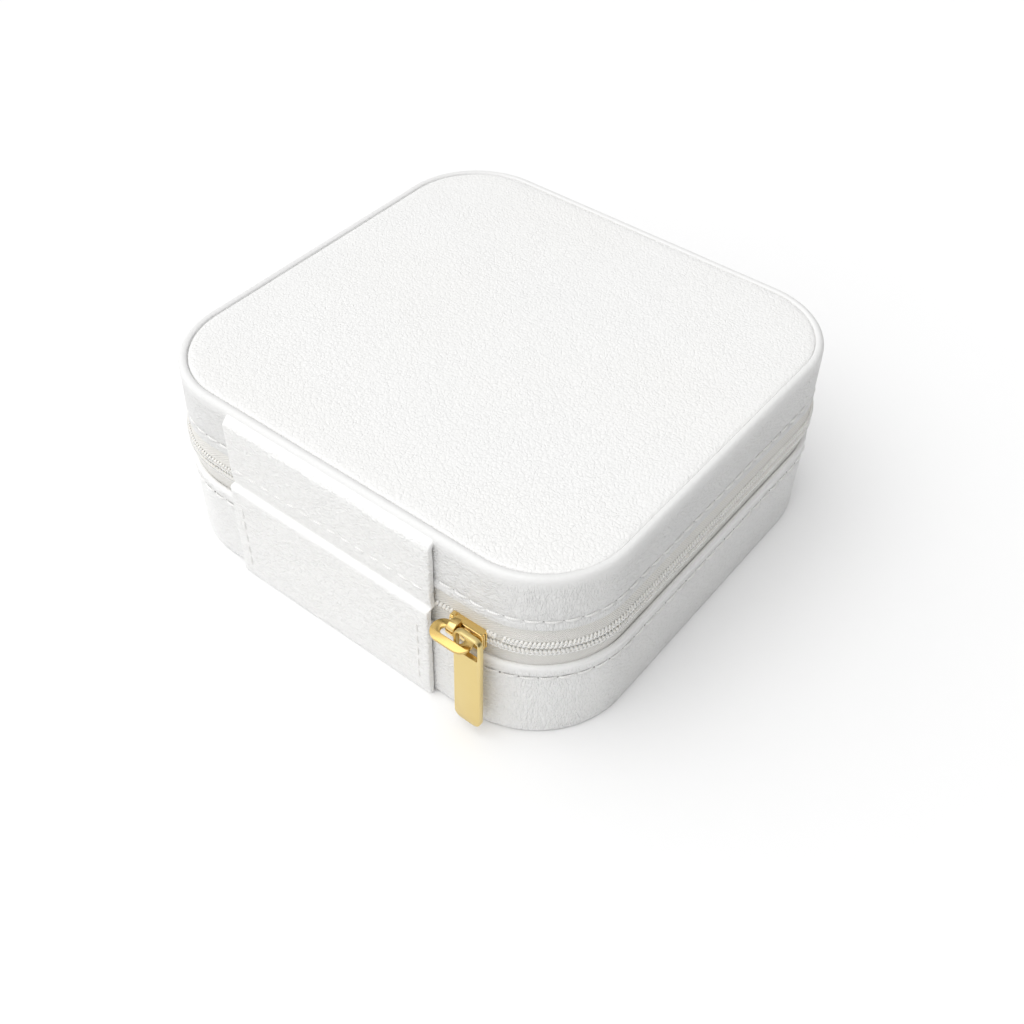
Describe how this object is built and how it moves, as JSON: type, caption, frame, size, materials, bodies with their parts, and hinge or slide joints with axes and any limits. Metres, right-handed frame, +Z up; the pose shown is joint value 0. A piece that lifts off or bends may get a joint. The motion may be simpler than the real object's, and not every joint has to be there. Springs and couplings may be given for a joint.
{
  "type": "jewelry box",
  "caption": "Small square travel jewelry case with rounded corners: a zip-around lid on a leather hinge panel, ring rolls, compartments and a mirror inside.",
  "frame": {"origin": "centre of the base's underside", "axes": "+Z up; the hinge panel and the lid's fold are at +Y and the front is at -Y; +X is to the right of someone facing the front"},
  "size_m": [0.1024, 0.104, 0.0413],
  "materials": {
    "white_leather": "fine pebbled faux leather, satin",
    "board": "grey-brown chipboard, matt",
    "velvet": "short-pile beige velvet",
    "zip_tape": "woven cream tape",
    "zip_coil": "cream nylon coil",
    "polished_gold": "polished gold plating",
    "satin_gold": "satin gold plating",
    "mirror": "silvered glass"
  },
  "bodies": {
    "base": {"base_bottom_panel": "white_leather", "base_cover": "white_leather", "base_floor_board": "board", "base_wall_board": "board", "base_lining_floor": "velvet", "base_lining_wall": "velvet", "ring_roll_1": "velvet", "ring_roll_2": "velvet", "ring_roll_3": "velvet", "ring_roll_4": "velvet", "ring_bed_partition": "velvet", "zip_tape_lower": "zip_tape", "zip_teeth_lower": "zip_coil", "zip_tape_end": "zip_tape", "zip_end_stop_left": "zip_coil", "zip_end_stop_right": "zip_coil", "hinge_panel_lower": "white_leather"},
    "lid": {"lid_cover": "white_leather", "lid_top_board": "board", "lid_wall_board": "board", "lid_rim": "white_leather", "lid_top_pad": "white_leather", "lid_lining": "velvet", "mirror_frame": "velvet", "lid_mirror": "mirror", "zip_tape_upper": "zip_tape", "zip_teeth_upper": "zip_coil", "hinge_panel_upper": "white_leather"},
    "zip_slider": {"slider_body": "polished_gold"},
    "ring_link": {"puller_ring": "polished_gold"},
    "tab": {"pull_tab": "satin_gold"},
    "divider_right": {"divider_right": "velvet"},
    "divider_left": {"divider_left": "velvet"}
  },
  "joints": [
    {"name": "lid_hinge", "type": "hinge", "parent": "base", "child": "lid", "pos_m": [0, 0.0506, 0.0241], "axis": [-1, 0, 0], "range_deg": [0, 100]},
    {"name": "slider_travel", "type": "hinge", "parent": "base", "child": "zip_slider", "pos_m": [-0.032, 0.03025, 0.0241], "axis": [0, 0, 1], "range_deg": [0, 90]},
    {"name": "ring_swing", "type": "hinge", "parent": "zip_slider", "child": "ring_link", "pos_m": [-0.02995, 0.0506, 0.0242], "axis": [1, 0, 0], "range_deg": [-4, 45]},
    {"name": "tab_swing", "type": "hinge", "parent": "ring_link", "child": "tab", "pos_m": [-0.0336, 0.0522, 0.0242], "axis": [0, 1, 0], "range_deg": [-8, 45]},
    {"name": "divider_right_lift", "type": "slide", "parent": "base", "child": "divider_right", "axis": [0, 0, 1], "range_m": [0, 0.012]},
    {"name": "divider_left_lift", "type": "slide", "parent": "base", "child": "divider_left", "axis": [0, 0, 1], "range_m": [0, 0.012]}
  ]
}
